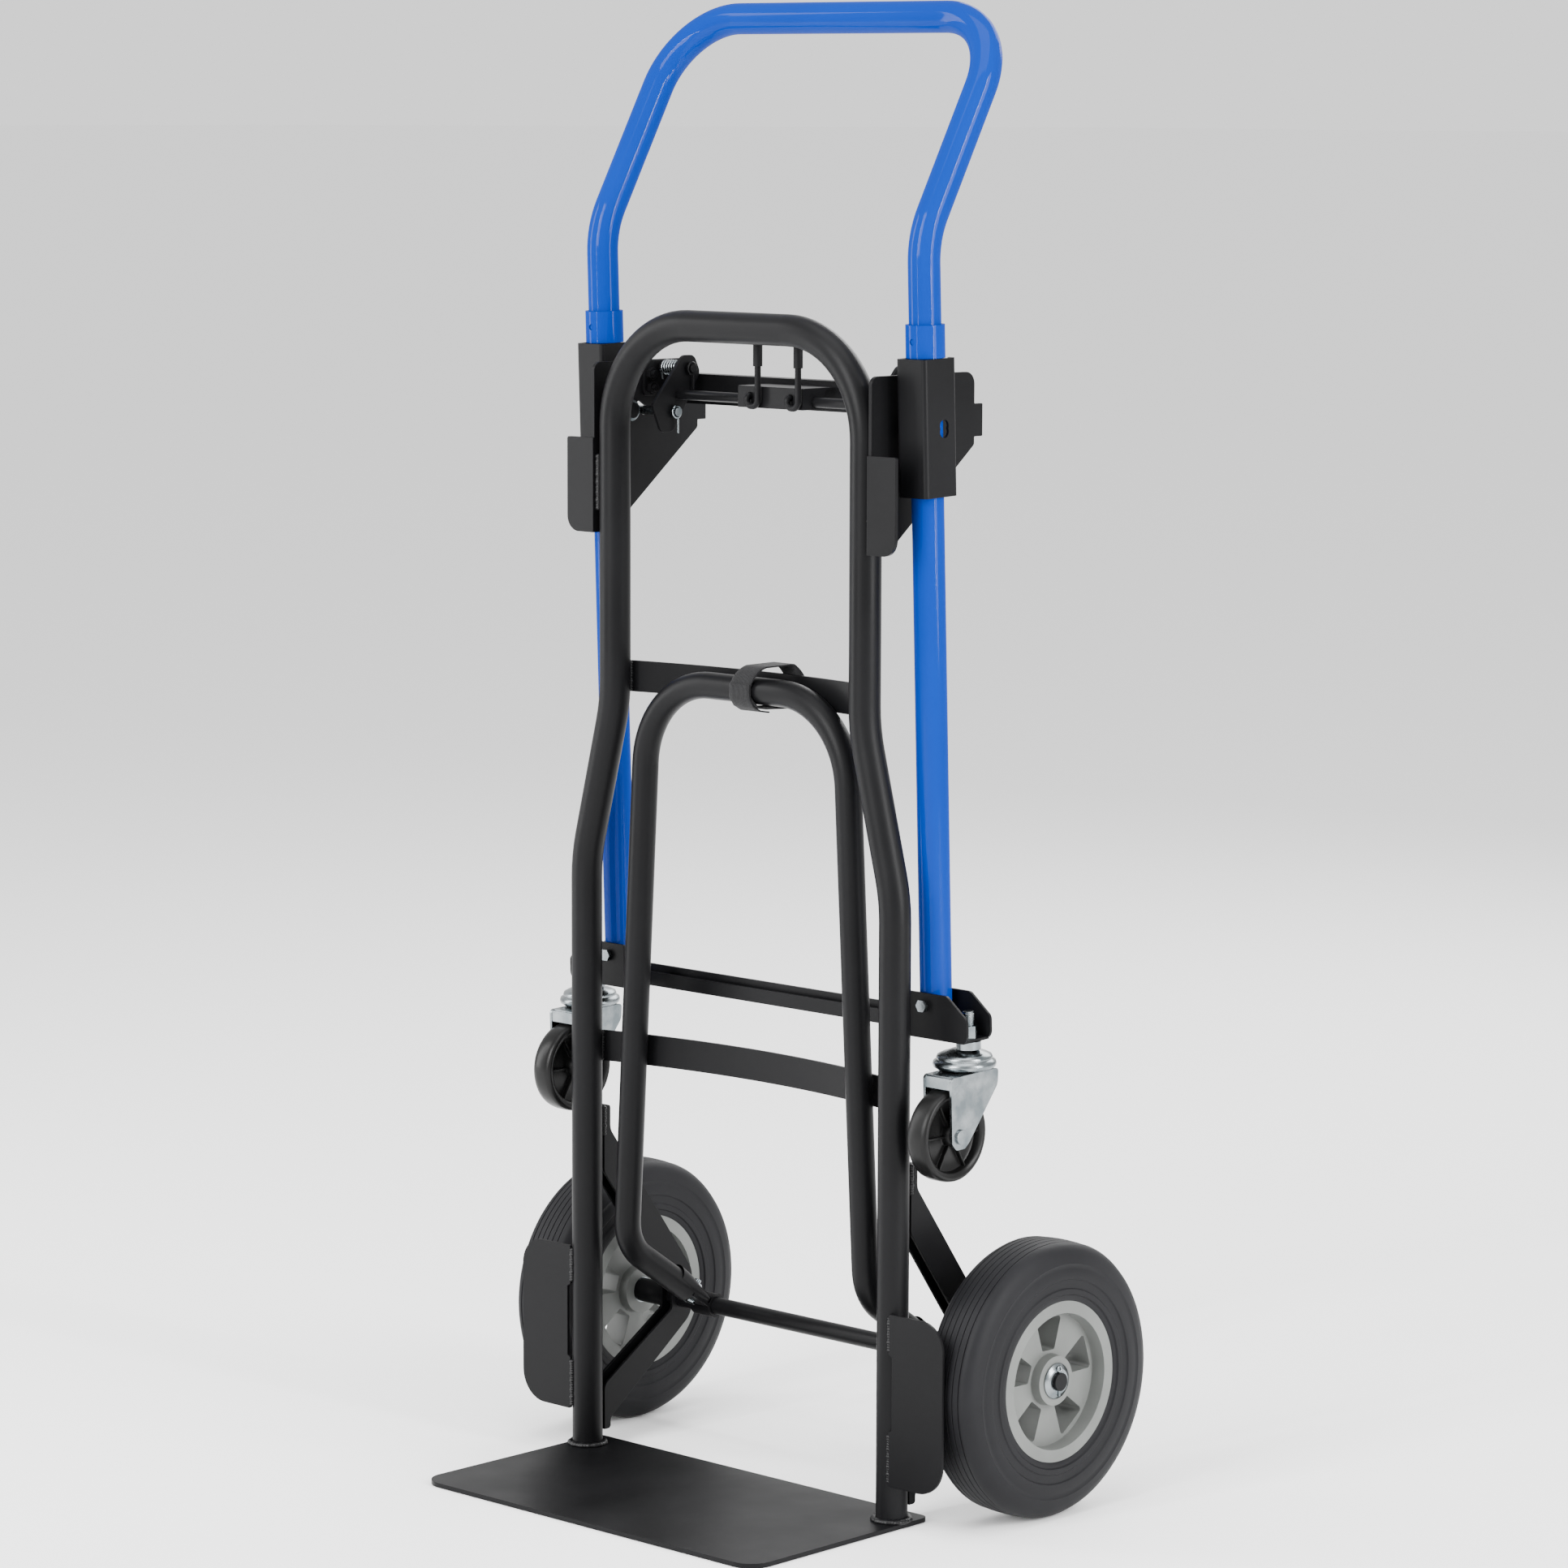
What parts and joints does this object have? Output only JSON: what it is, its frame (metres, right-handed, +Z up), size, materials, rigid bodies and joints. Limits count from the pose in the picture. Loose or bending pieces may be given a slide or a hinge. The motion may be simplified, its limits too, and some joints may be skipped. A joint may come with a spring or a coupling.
{
  "type": "convertible_hand_truck",
  "caption": "Convertible steel hand truck with a blue sliding, pivoting handle, swivel casters, ribbed rubber wheels, toe plate and folding nose extension",
  "frame": {"origin": "centre of the footprint on the floor: the middle of the bounding box in X and Y, at the height of the tyres' contact and the toe plate's underside", "axes": "+Z up, +X across the truck to the right-hand wheel, -Y ahead of the toe plate, +Y behind the wheels"},
  "size_m": [0.57, 0.432, 1.321],
  "materials": {
    "frame_paint": "satin powder coat",
    "handle_paint": "gloss powder coat",
    "zinc": "bright zinc plate",
    "tyre_rubber": "matte rubber",
    "rim_plastic": "moulded",
    "caster_plastic": "moulded",
    "grip_rubber": "dipped",
    "strap_fabric": "woven"
  },
  "bodies": {
    "frame": {"main_frame_tube": "frame_paint", "toe_plate": "frame_paint", "upper_crossbar": "frame_paint", "lower_crossbar": "frame_paint", "axle": "frame_paint", "axle_bracket_left": "frame_paint", "axle_bracket_right": "frame_paint", "wheel_guard_left": "frame_paint", "wheel_guard_right": "frame_paint", "gusset_left": "frame_paint", "gusset_right": "frame_paint", "latch_crossmember": "frame_paint", "flange_bolts": "frame_paint", "latch_pivot_pins": "frame_paint", "pivot_pin_hairpins": "frame_paint", "latch_springs": "frame_paint", "axle_spacers": "frame_paint", "axle_washers": "zinc", "axle_cotter_pins": "zinc"},
    "wheel_left": {"tyre_left": "tyre_rubber", "rim_left": "rim_plastic", "hub_bush_left": "zinc"},
    "wheel_right": {"tyre_right": "tyre_rubber", "rim_right": "rim_plastic", "hub_bush_right": "zinc"},
    "nose_extension": {"nose_frame": "frame_paint", "nose_clip_left": "frame_paint", "nose_clip_right": "frame_paint", "clip_bolts": "zinc", "nose_strap": "strap_fabric"},
    "carrier": {"slide_sleeve_left": "frame_paint", "slide_sleeve_right": "frame_paint", "sleeve_pivot_caps": "zinc"},
    "handle": {"handle_loop": "handle_paint", "leg_tube_left": "handle_paint", "leg_tube_right": "handle_paint", "collar_left": "handle_paint", "collar_right": "handle_paint", "collar_rivets": "handle_paint", "caster_crossmember": "frame_paint", "crossmember_bolts": "zinc", "caster_stem_left": "zinc", "caster_stem_right": "zinc"},
    "caster_left": {"caster_raceway_left": "zinc", "caster_fork_left": "zinc", "caster_pin_left": "zinc"},
    "caster_right": {"caster_raceway_right": "zinc", "caster_fork_right": "zinc", "caster_pin_right": "zinc"},
    "caster_roller_left": {"caster_wheel_left": "caster_plastic"},
    "caster_roller_right": {"caster_wheel_right": "caster_plastic"},
    "latch": {"latch_link_left": "frame_paint", "latch_link_right": "frame_paint", "release_rod": "frame_paint", "release_cradle": "frame_paint", "release_bail": "frame_paint", "bail_grip": "grip_rubber", "latch_pins": "zinc", "latch_pin_hairpins": "zinc"}
  },
  "joints": [
    {"name": "wheel_left", "type": "hinge", "parent": "frame", "child": "wheel_left", "pos_m": [-0.256, 0.093, 0.123], "axis": [1, 0, 0], "continuous": true},
    {"name": "wheel_right", "type": "hinge", "parent": "frame", "child": "wheel_right", "pos_m": [0.256, 0.093, 0.123], "axis": [1, 0, 0], "continuous": true},
    {"name": "nose_extension", "type": "hinge", "parent": "frame", "child": "nose_extension", "pos_m": [0, 0.093, 0.123], "axis": [1, 0, 0], "range_deg": [0, 90], "deforming": ["nose_strap"]},
    {"name": "carrier_pivot", "type": "hinge", "parent": "frame", "child": "carrier", "pos_m": [0, 0.00778, 0.95702], "axis": [1, 0, 0], "range_deg": [0, 90]},
    {"name": "handle_slide", "type": "slide", "parent": "carrier", "child": "handle", "axis": [0, -0.0344, 0.9994], "range_m": [0, 0.41]},
    {"name": "caster_swivel_left", "type": "hinge", "parent": "handle", "child": "caster_left", "pos_m": [-0.232, 0.02658, 0.41035], "axis": [0, -0.0344, 0.9994], "range_deg": [-270, 15]},
    {"name": "caster_wheel_left", "type": "hinge", "parent": "caster_left", "child": "caster_roller_left", "pos_m": [-0.232, -0.00134, 0.34935], "axis": [1, 0, 0], "continuous": true},
    {"name": "caster_swivel_right", "type": "hinge", "parent": "handle", "child": "caster_right", "pos_m": [0.232, 0.02658, 0.41035], "axis": [0, -0.0344, 0.9994], "range_deg": [-15, 270]},
    {"name": "caster_wheel_right", "type": "hinge", "parent": "caster_right", "child": "caster_roller_right", "pos_m": [0.232, -0.00134, 0.34935], "axis": [1, 0, 0], "continuous": true},
    {"name": "latch_release", "type": "hinge", "parent": "frame", "child": "latch", "pos_m": [0, 0.048, 0.9946], "axis": [1, 0, 0], "range_deg": [-10, 0]}
  ]
}
